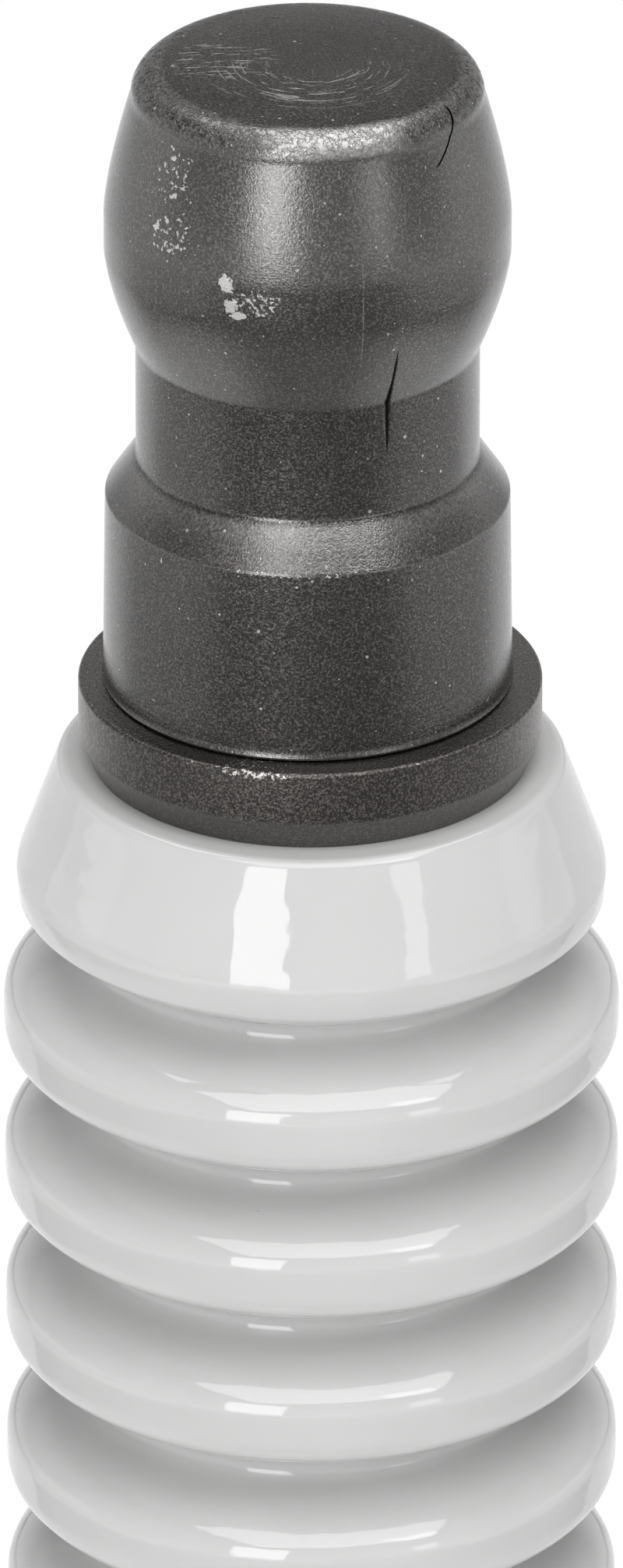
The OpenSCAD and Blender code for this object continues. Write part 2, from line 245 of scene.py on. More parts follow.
def terminal_nut(look):
    """The screw-on nut: a barrel head with a rounded top edge, a waist and a collar, threaded inside."""
    low, high = box_mm("terminal_nut")
    radius, bottom, top = high.x, low.z, high.z
    waist, flat, edge, dome, bore, groove, pitch = 2.69, 2.3, 0.45, 0.05, 2.02, 0.17, 0.7
    belly_high, belly_low, head_end = top - 2.48, top - 3.08, top - 4.7
    waist_top, waist_end, collar_top, shift = top - 4.75, top - 6.59, top - 7.3, -0.06
    thread_low, thread_high, bore_top, drill_tip = bottom + 0.3, bottom + 8.3, bottom + 8.7, 0.6
    foot, burr, countersink = radius + 0.04, 0.02, 0.25

    def inner_thread(form, z):
        ends = np.clip((z - thread_low) * 4, 0, 1) * np.clip((thread_high - z) * 2, 0, 1)
        return bore + groove * (1 - form) * ends

    nut = Turned()
    nut.add([(flat * t, top - dome * t ** 4) for t in np.linspace(0, 0.98, 10)])
    nut.add(arc(edge, flat, top - dome - edge, 86, 0, 16))
    nut.add(swell(flat + edge, radius, top - dome - edge, belly_high, 1.4)[1:])
    nut.add(swell(waist, radius, head_end, belly_low, 1.5)[::-1])
    nut.add(rounded([
        (waist, waist_top), (waist, waist_end, 0.12), (radius, collar_top, 0.1), (foot, bottom + 0.3),
    ]))
    nut.add(side((foot, bottom + 0.25), (foot, bottom + 0.12), 3))
    nut.add([(foot + burr / 2, bottom + 0.08), (foot + burr, bottom + 0.05), (foot, bottom + 0.015)])
    nut.add([(radius, bottom), (bore + 0.3, bottom), (bore + 0.02, bottom + countersink)])
    nut.thread(thread_low, thread_high, pitch, inner_thread)
    nut.add([(bore, bore_top), (0, bore_top + drill_tip)])
    mesh = nut.mesh("terminal_nut_turned", shape=sideways(shift))
    show(mesh, "terminal_nut", "terminal_nut", look)


def terminal_stud(look):
    """The stud: a knurled foot in the glass, a flange on the insulator and a thread for the nut."""
    low, high = box_mm("terminal_stud")
    flange, foot, top = high.x, low.z, high.z
    seat = box_mm("insulator")[1].z
    flange_top, under_chamfer, thread, pitch = top - FLANGE_DROP, top - FLANGE_DROP - 0.86, 1.98, 0.7
    shank, knurl, knurl_top, shift = 1.35, 0.15, foot + 5.6, -0.02
    root = thread - THREAD_DEPTH * pitch

    def knurled(form, z):
        ridge = shank + knurl * (form - 0.5) * np.clip(knurl_top - z, 0, 1)
        return np.minimum(ridge, shank - knurl + z - foot)

    def stud_thread(form, z):
        crest = root + (thread - root) * form * np.clip((z - flange_top) * 2.5, 0, 1)
        return np.minimum(crest, root - 0.35 + top - z)

    stud = Turned()
    stud.add([(0, foot), (shank - knurl, foot)])
    stud.thread(foot, knurl_top, pitch, knurled)
    stud.add(rounded([
        (shank, knurl_top + 0.1), (shank, seat, 0.04), (flange - 0.2, seat, 0.05),
        (flange, under_chamfer, 0.03), (flange, flange_top, 0.07), (root + 0.15, flange_top),
    ]))
    stud.thread(flange_top, top, pitch, stud_thread)
    stud.add([(0, top)])
    mesh = stud.mesh("terminal_stud_turned", shape=sideways(shift))
    show(mesh, "plug", "terminal_stud", look)


def insulator(look):
    """The ceramic body: five ribs, a plain barrel, the shoulder, the trunk and the nose, with its bore."""
    low, high = box_mm("insulator")
    shoulder, tip, top = high.x, low.z, high.z
    first_rib, first_z, second_z, pitch, valley, crests = 4.7, TOP - 13.8, TOP - 16.29, 2.575, 3.67, 4
    top_edge, barrel, barrel_z, shoulder_z, floor_z = 3.97, 4.78, SEAT_Z + 16.06, SEAT_Z + 9.1, SEAT_Z + 2.1
    nose_root, nose_tip, electrode_bore = 2.65, 1.8, 1.15
    last_valley = second_z - (crests - 0.5) * pitch
    body = Turned()
    body.add(rounded([
        (STUD_BORE_R, top), (top_edge, top, 0.2), (first_rib - 0.06, first_z + 0.1, 1.2),
        (first_rib, first_z - 0.5),
    ], steps=12)[:-1])
    body.add(flank(first_rib, first_z, valley, second_z + pitch / 2)[8:])
    for i in range(crests):
        crest_z = second_z - i * pitch
        body.add(flank(RIB_R, crest_z, valley, crest_z + pitch / 2)[::-1][1:])
        body.add(flank(RIB_R, crest_z, valley, crest_z - pitch / 2)[1:])
    body.add(flank(RIB_R, last_valley - pitch / 2, valley, last_valley)[::-1][1:])
    body.add(rounded([
        (RIB_R, last_valley - pitch / 2 - 0.1), (barrel, barrel_z, 3),
        (barrel, shoulder_z + shoulder - barrel, 0.2), (shoulder, shoulder_z, 0.2),
        (shoulder, floor_z + 1.5, 0.3), (TRUNK_R, floor_z, 0.3), (TRUNK_R, LEDGE_Z + 0.85, 0.1),
        (nose_root, LEDGE_Z - 0.05, 0.1), (nose_root, LEDGE_Z - 1.8, 0.5), (nose_tip, tip, 0.3),
        (electrode_bore, tip), (electrode_bore, ELECTRODE_SEAT_Z, 0.05),
        (STUD_BORE_R, ELECTRODE_SEAT_Z + STUD_BORE_R - electrode_bore, 0.05), (STUD_BORE_R, top),
    ]))
    show(body.mesh("insulator_glazed"), "plug", "insulator", look)


def hexagon_angles():
    """Angles for the shell's columns, with more of them at the hexagon's rounded corners."""
    beside_corner = np.radians([-1.35, -0.9, -0.45, 0.45, 0.9, 1.35])
    corners = np.radians(np.arange(30, 360, 60))
    return np.sort(np.concatenate([ROUND, (corners[:, None] + beside_corner).ravel()]))


def hexagon_radius(angles, half_flats, corner):
    """Distance from the axis to a hexagon with rounded corners, one of whose flats is square to X."""
    from_flat = (angles + math.pi / 6) % (math.pi / 3) - math.pi / 6
    from_corner = math.pi / 6 - abs(from_flat)
    centre = (half_flats - corner) / math.cos(math.pi / 6)
    turn = math.pi / 6 - math.atan2((half_flats - corner) * math.tan(math.pi / 6), half_flats)
    reach = np.sqrt(np.maximum(corner ** 2 - (centre * np.sin(from_corner)) ** 2, 0))
    round_part = centre * np.cos(from_corner) + reach
    return np.where(from_corner < turn, round_part, half_flats / np.cos(from_flat))


def hexagon_rows(angles, half_flats, low, high):
    """Rows up the hexagon from its lower washer face to the upper one, with both chamfers."""
    washer, corner, slope, bevel = half_flats - 0.15, 0.4, math.tan(math.radians(30)), 0.05
    radius = hexagon_radius(angles, half_flats, corner)
    drop = (radius - washer) * slope
    inner = np.maximum(radius - bevel, (radius + washer) / 2)
    rows = [(washer - 0.05, low), (washer + 0.03, low + 0.01), (inner, low + (inner - washer) * slope)]
    rows += [(radius - 0.3 * bevel, low + drop), (radius, low + drop + bevel)]
    rows += [(radius, low + drop + 0.3 + (high - low - 2 * drop - 0.6) * t) for t in np.linspace(0, 1, 5)]
    mirrored = [(r, high + low - z) for r, z in reversed(rows[:5])]
    return rows + mirrored


def shell(look):
    """The steel shell: helical thread, neck, seat, collar, crimp groove, hexagon, rolled lip and bore."""
    low, high = box_mm("shell")
    end, lip_top, half_flats = low.z, high.z, high.x
    crest, neck, pitch = 4.95, 4.32, 1.0
    root = crest - THREAD_DEPTH * pitch
    face, neck_z = root - 0.1, SEAT_Z - 2.35
    collar, collar_top, chamfer, groove, slope = 7.5, SEAT_Z + 4, 0.4, 6.7, 0.5
    hex_low, hex_top = SEAT_Z + 5.8, SEAT_Z + 13.8
    path, wire, lip = 5.39, 0.56, 0.9
    ring_z, lip_outer, lip_under = hex_top + 0.5, path + wire + lip, hex_top + 0.5 + wire + 0.05
    chamber, floor_z, trunk_bore, ledge = 6.0, SEAT_Z + 1.7, 3.62, 3.05

    def mounting_thread(form, z):
        run_out = ease((neck_z - z) / (1.2 * pitch))
        return np.minimum(neck + (root - neck + (crest - root) * form) * run_out, face + z - end)

    angles = hexagon_angles()
    body = Turned(angles)
    body.add(rounded([(NOSE_BORE_R, end + 1), (NOSE_BORE_R, end, 0.1), (face, end)]))
    body.thread(end, neck_z, pitch, mounting_thread)
    body.add(rounded([
        (neck, neck_z + 0.1), (neck, SEAT_Z, 0.15), (collar - chamfer, SEAT_Z, 0.08),
        (collar, SEAT_Z + chamfer, 0.15), (collar, collar_top - chamfer, 0.15),
        (collar - chamfer, collar_top, 0.12), (groove, collar_top + slope, 0.2),
        (groove, hex_low - slope, 0.2), (groove + slope, hex_low, 0.08), (half_flats - 0.25, hex_low),
    ], steps=4))
    body.add(hexagon_rows(angles, half_flats, hex_low, hex_top))
    body.add(rounded([(half_flats - 0.3, hex_top), (lip_outer, hex_top, 0.12), (lip_outer, ring_z)]))
    body.add(arc(wire + lip, path, ring_z, 0, 90, 14)[1:])
    body.add(rounded([
        (path, lip_top), (LIP_R, lip_top, 0.25), (LIP_R, lip_under, 0.1), (path, lip_under),
    ]))
    body.add(arc(wire + 0.05, path, ring_z, 90, 0, 6)[1:])
    body.add(rounded([
        (chamber, ring_z - 0.2), (chamber, floor_z + 1.6, 0.3), (trunk_bore, floor_z, 0.1),
        (trunk_bore, LEDGE_Z + trunk_bore - ledge, 0.05), (ledge, LEDGE_Z, 0.05),
        (ledge, LEDGE_Z - 0.85, 0.1), (NOSE_BORE_R, LEDGE_Z - 1.3, 0.1), (NOSE_BORE_R, end + 1.2),
    ], steps=3))
    show(body.mesh("shell_threaded", closed=True), "plug", "shell", look)


def gasket(look):
    """The folded sheet ring: one sheet in three layers, with slightly uneven folds."""
    low, high = box_mm("gasket")
    outer, thick = high.x, high.z - low.z
    inner, sheet = 4.75, 0.3
    step = (thick - sheet) / 2
    bend = step / 2
    path = [(inner + bend + sheet / 2 + 0.1, low.z + sheet / 2)]
    path += arc(bend, outer - bend - sheet / 2, low.z + sheet / 2 + bend, -90, 90, 12)
    path += arc(bend, inner + bend + sheet / 2, high.z - sheet / 2 - bend, -90, -270, 12)
    path += [(outer - bend - sheet / 2 - 0.1, high.z - sheet / 2)]
    points = np.array(path)
    along = np.gradient(points, axis=0)
    along /= np.linalg.norm(along, axis=1)[:, None]
    across = np.stack([along[:, 1], -along[:, 0]], axis=-1) * sheet / 2
    start_cap = points[0] - along[0] * sheet * 0.25
    end_cap = points[-1] + along[-1] * sheet * 0.25
    outline = np.concatenate([points + across, [end_cap], (points - across)[::-1], [start_cap]])

    def uneven(rows):
        angle = np.arctan2(rows[..., 1], rows[..., 0])
        radius = np.hypot(rows[..., 0], rows[..., 1])
        middle = 1 - (2 * (rows[..., 2] - low.z) / thick - 1) ** 4
        ripple = 0.02 * np.sin(5 * angle + 1) + 0.012 * np.sin(11 * angle) + 0.008 * np.sin(23 * angle + 2)
        scale = 1 + (ripple - 0.04) * middle / radius
        return rows * np.stack([scale, scale, np.ones_like(scale)], axis=-1)

    ring = Turned()
    ring.add([tuple(p) for p in outline])
    show(ring.mesh("gasket_folded", closed=True, shape=uneven), "gasket", "gasket", look)


def center_electrode(look):
    """The nickel electrode: a worn tip, the seat cone, a head and a hollow post for the copper core."""
    low, high = box_mm("center_electrode")
    tip, post_top = low.z, high.z
    radius, head, head_top, post, core = 1.13, 1.48, ELECTRODE_SEAT_Z + 1.5, 0.95, 0.6
    core_end = tip + 3
    rod = Turned()
    rod.add([(0, tip)])
    rod.add(rounded([
        (0.3, tip), (radius, tip, 0.16), (radius, ELECTRODE_SEAT_Z, 0.05),
        (head, ELECTRODE_SEAT_Z + head - radius, 0.05), (head, head_top, 0.08), (post, head_top, 0.05),
        (post, post_top, 0.05), (core, post_top), (core, core_end + core), (0, core_end),
    ]))
    show(rod.mesh("center_electrode_turned"), "plug", "center_electrode", look)


def bar_path(low, high, thick, bend):
    """The bar's middle line: points, the direction across its thickness, and how far its sides draw in."""
    middle_z, left = low.z + thick / 2, low.x + thick / 2
    centre_x, centre_z = left + bend, middle_z + bend
    weld_height, weld_bulge, end_round = 0.4, 0.17, 0.12
    path = []
    for z in np.linspace(high.z, centre_z, 34):
        weld = ease((z - high.z + weld_height) / weld_height)
        path.append((left, z, 180, -weld_bulge * weld))
    for (x, z), a in zip(arc(bend, centre_x, centre_z, 180, 270, 27)[1:], np.linspace(180, 270, 28)[1:]):
        path.append((x, z, a, 0))
    for x in np.linspace(centre_x, high.x - 0.2, 20)[1:]:
        path.append((x, middle_z, 270, 0))
    for turn in np.radians(np.linspace(0, 80, 6)):
        x = high.x - end_round * (1 - math.sin(turn))
        path.append((x, middle_z, 270, end_round * (1 - math.cos(turn))))
    return path


def ground_electrode(look):
    """The side electrode: a rounded bar, bent under the tip, with its weld at the shell's end."""
    low, high = box_mm("ground_electrode")
    thick, width, corner, bend = 1.1, high.y - low.y, 0.22, 1.55
    half_u, half_v = thick / 2, width / 2
    ring = []
    for su, sv, start in ((1, 1, 0), (-1, 1, 90), (-1, -1, 180), (1, -1, 270)):
        ring += arc(corner, su * (half_u - corner), sv * (half_v - corner), start, start + 90, 5)
    points = []
    for x, z, a, inset in bar_path(low, high, thick, bend):
        out, across = Vector((math.cos(math.radians(a)), 0, math.sin(math.radians(a)))), Vector((0, 1, 0))
        for u, v in ring:
            point = Vector((x, 0, z)) + out * u * (1 - inset / half_u) + across * v * (1 - inset / half_v)
            beads = noise.noise(point * 2.6) * max(-inset, 0) * 0.5
            points.append(point + out * u * beads + across * v * beads)
    points = np.array(points)
    index = np.arange(len(points)).reshape(-1, len(ring))
    sides = quads_between(index, np.roll(index, -1, axis=1))
    ends = [index[0].tolist(), index[-1].tolist()]
    mesh = finished("ground_electrode_bent", points, sides + ends)
    show(mesh, "plug", "ground_electrode", look)


# ---------------------------------------------------------------- looks


class Look:
    """A material's node tree, with short ways to add to it. Its lengths are in millimetres."""

    def __init__(self, name, **settings):
        self.material = bpy.data.materials.new(name)
        self.material.use_nodes = True
        self.tree = self.material.node_tree
        self.shader = self.tree.nodes["Principled BSDF"]
        self.set(**settings)
        place = self.node("ShaderNodeTexCoord").outputs["Object"]
        scaled = self.node("ShaderNodeVectorMath", {0: place, "Scale": 1 / MM}, operation="SCALE")
        self.place = scaled.outputs[0]
        self.x, self.y, self.z = self.node("ShaderNodeSeparateXYZ", {0: self.place}).outputs

    def set(self, **settings):
        """Sets or links the shader's sockets, named with underscores."""
        for key, value in settings.items():
            self.put(value, self.shader.inputs[key.replace("_", " ")])

    def put(self, value, socket):
        """Links a node's output to the socket, or sets a plain value on it."""
        if isinstance(value, bpy.types.NodeSocket):
            self.tree.links.new(value, socket)
        elif isinstance(value, tuple) and len(value) == 3 and len(socket.default_value) == 4:
            socket.default_value = (*value, 1)
        else:
            socket.default_value = value

    def node(self, kind, inputs=(), **settings):
        """A new node of a kind, with values or links for its inputs."""
        new = self.tree.nodes.new(kind)
        for key, value in settings.items():
            setattr(new, key, value)
        for socket, value in dict(inputs).items():
            self.put(value, new.inputs[socket])
        return new

    def math(self, operation, *values):
        return self.node("ShaderNodeMath", dict(enumerate(values)), operation=operation).outputs[0]

    def add(self, *values):
        total = values[0]
        for value in values[1:]:
            total = self.math("ADD", total, value)
        return total

    def times(self, *values):
        product = values[0]
        for value in values[1:]:
            product = self.math("MULTIPLY", product, value)
        return product

    def radius(self):
        """Distance from the plug's axis."""
        return self.math("SQRT", self.add(self.times(self.x, self.x), self.times(self.y, self.y)))

    def angle(self):
        """Angle about the plug's axis in radians, from 0 at -Y and rising towards +X."""
        return self.math("ARCTAN2", self.x, self.times(self.y, -1))

    def most(self, *values):
        """The largest of several values."""
        top = values[0]
        for value in values[1:]:
            top = self.math("MAXIMUM", top, value)
        return top

    def ramp(self, value, low, high, to_low=0.0, to_high=1.0):
        """A smooth step: to_low where value is below low, to_high where it is above high."""
        settings = {0: value, 1: low, 2: high, 3: to_low, 4: to_high}
        return self.node("ShaderNodeMapRange", settings, interpolation_type="SMOOTHSTEP").outputs[0]

    def band(self, value, low, high, soft):
        """1 where value lies between low and high, with soft edges."""
        rise = self.ramp(value, low - soft, low + soft)
        return self.times(rise, self.ramp(value, high - soft, high + soft, 1, 0))

    def near(self, value, place, inner, outer, beyond=0):
        """1 where value is within inner of place, and beyond where it is further than outer."""
        return self.ramp(self.math("ABSOLUTE", self.math("SUBTRACT", value, place)), inner, outer, 1, beyond)

    def at(self, x=None, y=None, z=None):
        """A place for a texture, from up to three values."""
        values = {i: v for i, v in enumerate((x, y, z)) if v is not None}
        return self.node("ShaderNodeCombineXYZ", values).outputs[0]

    def noise(self, scale, detail=2.0, roughness=0.5, at=None, bend=0.0):
        """Cloudy noise. scale is its number of clouds per millimetre."""
        inputs = {"Vector": at or self.place, "Scale": scale, "Detail": detail}
        inputs.update({"Roughness": roughness, "Distortion": bend})
        return self.node("ShaderNodeTexNoise", inputs).outputs[0]

    def dots(self, scale, radius, share, at=None):
        """Round dots of a radius in millimetres. scale is cells per millimetre, a share of which have one."""
        cell = self.node("ShaderNodeTexVoronoi", {"Vector": at or self.place, "Scale": scale})
        chance = self.node("ShaderNodeSeparateColor", {0: cell.outputs["Color"]})
        size = self.times(self.ramp(chance.outputs[1], 0, 1, 0.5, 1.5), radius * scale)
        inside = self.ramp(self.math("DIVIDE", cell.outputs["Distance"], size), 0.7, 1, 1, 0)
        return self.times(inside, self.math("LESS_THAN", chance.outputs[0], share))

    def oval(self, u, v, centre, size):
        """Squared distance of (u, v) from a centre, which is 1 at the edge of an oval of this size."""
        du = self.math("DIVIDE", self.math("SUBTRACT", u, centre[0]), size[0])
        dv = self.math("DIVIDE", self.math("SUBTRACT", v, centre[1]), size[1])
        return self.add(self.times(du, du), self.times(dv, dv))

    def blob(self, u, v, centre, size):
        """A soft oval patch about a point of (u, v)."""
        return self.ramp(self.oval(u, v, centre, size), 0.2, 1, 1, 0)

    def ragged(self, u, v, centre, size, wobble):
        """A sharp patch about a point of (u, v), with a ragged edge."""
        return self.ramp(self.add(self.oval(u, v, centre, size), wobble), 0.8, 1, 1, 0)

    def mix(self, share, first, second):
        """A colour between first and second."""
        inputs = {0: share, 6: first, 7: second}
        return self.node("ShaderNodeMix", inputs, data_type="RGBA").outputs[2]

    def bump(self, height, depth, strength=1.0, under=None):
        """A bump whose height of 1 is depth millimetres."""
        inputs = {"Height": height, "Strength": strength, "Distance": depth * MM}
        if under is not None:
            inputs["Normal"] = under
        return self.node("ShaderNodeBump", inputs).outputs[0]


# The nut's worn metal, also used for its painted highlights, its bare metal, and the radius in millimetres
# that turns its angles into distances.
WORN_METAL_AND_HIGHLIGHT = (0.5, 0.49, 0.48)
BARE_METAL = (0.74, 0.73, 0.72)
HEAD_REACH = 3.0


def terminal_plating():
    """Dark oiled plating on the nut, with worn edges, chips, specks and fine scratches, and painted
    highlights on the front of the top rim, the collar's chamfer and the foot line.
    """
    look = Look("terminal_plating", Metallic=1.0, Specular_Tint=(0.3, 0.3, 0.3))
    look.set(Coat_Roughness=0.14, Coat_IOR=1.85)
    down = look.math("SUBTRACT", TOP, look.z)
    radius = look.radius()
    angle = look.angle()
    around = look.times(angle, HEAD_REACH)

    smudge = look.noise(0.55, 3, 0.6, bend=0.6)
    grain = look.noise(17, 3, 0.65)
    fine = look.noise(34, 2, 0.6)
    grit = look.noise(26, 3, 0.7)
    rings = look.noise(1, 2, 0.7, at=look.at(z=look.times(look.z, 22)))
    flakes = look.noise(9, 4, 0.7)

    # Painted highlight: the front of the top rim, the chamfer (lighter towards its top) and the foot line get
    # the lighter worn colour where the lamps catch them.
    rim = look.times(look.band(down, 0.02, 0.4, 0.07), look.ramp(radius, 2.25, 2.42))
    front = look.near(angle, 0.15, 0.3, 0.5, 0.1)
    chamfer = look.band(down, 6.66, 7.3, 0.06)
    foot = look.ramp(down, 10.42, 10.46)
    wear_and_highlight = look.most(
        look.times(rim, front, 0.5), look.times(foot, 0.5),
        look.times(chamfer, look.ramp(down, 6.7, 7.15, 0.29, 0.13)),
    )
    wear_and_highlight = look.times(wear_and_highlight, look.ramp(grain, 0.3, 0.62, 0.55, 1.25))

    wobble = look.add(look.ramp(flakes, 0.3, 0.7, -0.5, 0.5), look.ramp(grain, 0.3, 0.7, -0.5, 0.5))
    chips = look.most(
        look.ragged(around, down, (-1.27, 2.43), (0.12, 0.14), wobble),
        look.ragged(around, down, (-1.2, 2.8), (0.11, 0.13), wobble),
        look.ragged(around, down, (-1.1, 2.93), (0.13, 0.07), wobble),
    )
    chip_zone = look.blob(around, down, (-0.78, 2.72), (0.5, 0.36))
    peck_zone = look.most(
        look.blob(around, down, (-2.45, 1.0), (0.6, 0.55)),
        look.blob(around, down, (-2.3, 1.85), (0.6, 0.5)),
    )
    pecks = look.ramp(look.add(look.noise(11, 2, 0.6), look.times(peck_zone, 0.155)), 0.73, 0.76)
    edge_zone = look.times(look.band(down, 7.26, 7.36, 0.03), look.band(angle, -0.42, 0.3, 0.12))
    # Bare specks are likelier on the front of the rim, partly wear and partly the painted sparkle of its
    # highlight, and in the chip zone, along the collar's front edge and on the chamfer.
    likely = look.add(
        look.times(rim, front, 0.13), look.times(chip_zone, 0.2), look.times(edge_zone, 0.17),
        look.times(chamfer, 0.03),
    )
    bare = look.most(look.ramp(look.add(grain, likely), 0.73, 0.79), chips, pecks)
    specks = look.most(look.dots(3.6, 0.022, 0.3), look.times(look.dots(5.2, 0.017, 0.3), 0.6))
    scuffs = look.times(rim, look.ramp(flakes, 0.46, 0.56))

    arcs = look.noise(1, 2, 0.6, at=look.at(look.times(radius, 16), look.times(angle, 1.5)))
    near_left = look.times(look.ramp(look.y, -0.4, 0.3, 1, 0), look.ramp(down, 0.0, 0.02, 1, 0))
    arc_zone = look.times(look.band(radius, 0.7, 1.75, 0.15), near_left)
    arc_marks = look.times(look.ramp(arcs, 0.58, 0.64), arc_zone)
    strokes = look.noise(1, 2, 0.6, at=look.at(look.times(look.x, 2.2), look.times(look.y, 19)))
    stroke_zone = look.blob(look.x, look.y, (-1.5, 0.1), (1.1, 0.85))
    stroke_zone = look.times(stroke_zone, look.ramp(down, 0.0, 0.05, 1, 0))
    stroke_marks = look.times(look.ramp(strokes, 0.59, 0.65), stroke_zone)
    thin = look.near(around, 0.77, 0.004, 0.014)
    thin = look.times(thin, look.band(down, 2.05, 3.8, 0.25), look.ramp(grain, 0.35, 0.6))
    top_marks = look.most(arc_marks, stroke_marks, look.times(thin, 0.5))

    gouge_width = look.add(
        look.times(look.band(down, 3.75, 5.5, 0.2), 0.04), look.times(look.band(down, 4.5, 5.15, 0.35), 0.045)
    )
    gouge = look.near(around, 1.365, 0, gouge_width)
    gouge = look.times(gouge, look.ramp(gouge_width, 0.001, 0.004))
    hair_line = look.math("SUBTRACT", 2.98, look.times(down, down, 0.95))
    hair = look.near(around, hair_line, 0.02, 0.045)
    hair = look.times(hair, look.band(down, 0.12, 0.85, 0.03))
    cuts = look.most(gouge, hair)

    dark = look.mix(smudge, (0.008, 0.0068, 0.0062), (0.024, 0.021, 0.0195))
    toned = look.mix(look.ramp(grit, 0.46, 0.63), dark, (0.145, 0.129, 0.12))
    # Wear makes the upper head a little lighter.
    wear_and_highlight = look.add(wear_and_highlight, look.ramp(down, 3.2, 5.2, 0.045, 0))
    # The worn colour carries both the wear and the painted highlights.
    worn = look.mix(wear_and_highlight, toned, WORN_METAL_AND_HIGHLIGHT)
    marked = look.mix(look.times(top_marks, 0.85), worn, WORN_METAL_AND_HIGHLIGHT)
    shiny = look.mix(look.most(bare, look.times(specks, 0.8)), marked, BARE_METAL)
    look.set(Base_Color=look.mix(cuts, shiny, (0.008, 0.008, 0.008)))
    rough = look.add(look.ramp(smudge, 0.3, 0.7, 0.38, 0.44), look.ramp(grain, 0.3, 0.8, -0.03, 0.08))
    look.set(Roughness=rough)
    look.set(Coat_Weight=look.ramp(look.most(cuts, look.times(scuffs, 0.5)), 0, 1, 1, 0))
    height = look.add(
        look.times(grain, 0.6), look.times(fine, 0.4), look.times(rings, 0.25), look.times(bare, -0.7),
        look.times(cuts, -4), look.times(top_marks, -1.5), look.times(scuffs, 0.8),
    )
    look.set(Normal=look.bump(height, 0.014), Coat_Normal=look.bump(height, 0.0065))
    return look.material


def stud_plating():
    """Grainy dark plating on the stud, worn bright along the flange's upper edge, with a painted highlight in
    a patch at its front left and its lower chamfer painted lighter as a painted reflection.
    """
    look = Look("stud_plating", Metallic=1.0, Coat_Weight=0.6, Coat_Roughness=0.25)
    flange_top = box_mm("terminal_stud")[1].z - FLANGE_DROP
    down = look.math("SUBTRACT", flange_top, look.z)
    smudge = look.noise(0.8, 3, 0.6)
    grain = look.noise(13, 4, 0.7)
    # Bare flakes are likelier along the flange's upper edge and in a patch at its front left; that patch is
    # partly wear and partly a painted highlight where the lamp catches the edge.
    edge = look.times(look.band(down, 0.0, 0.1, 0.03), look.ramp(look.radius(), 3.5, 3.6))
    wear_and_highlight = look.blob(look.angle(), down, (-0.25, 0.03), (0.22, 0.2))
    likely = look.add(look.times(edge, 0.08), look.times(wear_and_highlight, 0.15))
    bare = look.ramp(look.add(grain, likely), 0.72, 0.8)
    # Painted reflection: the lower chamfer band is painted lighter than the flange's side.
    under = look.ramp(down, 0.82, 0.88)
    dark = look.mix(smudge, (0.02, 0.0175, 0.0162), (0.052, 0.0465, 0.0435))
    grainy = look.mix(look.ramp(look.noise(26, 3, 0.7), 0.46, 0.63), dark, (0.17, 0.153, 0.143))
    toned = look.mix(look.times(under, 0.35), grainy, (0.2, 0.19, 0.185))
    look.set(Base_Color=look.mix(bare, toned, (0.72, 0.7, 0.68)))
    look.set(Roughness=look.ramp(grain, 0.3, 0.8, 0.3, 0.5))
    uneven = look.bump(grain, 0.02)
    look.set(Normal=uneven, Coat_Normal=uneven)
    return look.material


def glazed_alumina():
    """White glazed ceramic with faint unevenness and a few dark specks, bare and matt below the glaze."""
    look = Look("glazed_alumina", Metallic=0.0, IOR=1.52)
    glaze_end = box_mm("shell")[1].z - 1.2
    bare = look.ramp(look.z, glaze_end - 0.3, glaze_end, 1, 0)
    tone = look.noise(0.35, 3, 0.55)
    fine = look.noise(9, 3, 0.6)
    white = look.mix(tone, (0.487, 0.489, 0.485), (0.536, 0.538, 0.534))
    body = look.mix(fine, (0.70, 0.68, 0.635), (0.78, 0.765, 0.73))
    specks = look.times(look.dots(0.85, 0.028, 0.3), 0.75)
    colour = look.mix(bare, white, body)
    look.set(Base_Color=look.mix(specks, colour, (0.05, 0.045, 0.04)))
    look.set(Roughness=look.add(look.ramp(bare, 0, 1, 0.05, 0.62), look.ramp(fine, 0.3, 0.7, -0.01, 0.02)))
    wave = look.add(look.noise(0.9, 2, 0.4), look.times(look.noise(3.0, 2, 0.5), 0.05))
    pores = look.times(look.noise(30, 3, 0.6), bare)
    glaze = look.bump(wave, 0.032)
    look.set(Normal=look.bump(look.add(pores, look.times(specks, -1)), 0.012, under=glaze))
    return look.material


def plated_steel(name, dark, light, rough, oil):
    """Turned and plated steel with ring marks, lighter worn spots and darker stains in random patches."""
    look = Look(name, Metallic=1.0)
    cloud = look.noise(0.4, 4, 0.6, bend=0.4)
    grain = look.noise(15, 3, 0.65)
    rings = look.noise(1, 3, 0.7, at=look.at(z=look.times(look.z, 18)))
    rubs = look.ramp(look.noise(3.5, 4, 0.7), 0.6, 0.72)
    stain = look.times(look.ramp(look.noise(1.3, 4, 0.65), 0.5, 0.75), oil)
    plain = look.mix(cloud, dark, light)
    toned = look.mix(look.times(rubs, 0.35), plain, tuple(min(1, c * 1.35) for c in light))
    look.set(Base_Color=look.mix(stain, toned, tuple(c * 0.35 for c in dark)))
    uneven = look.ramp(grain, 0.3, 0.75, rough - 0.05, rough + 0.08)
    look.set(Roughness=look.add(uneven, look.times(stain, 0.2)))
    height = look.add(look.times(grain, 0.5), look.times(rings, 0.5), look.times(rubs, -0.4))
    look.set(Normal=look.bump(height, 0.008))
    return look.material


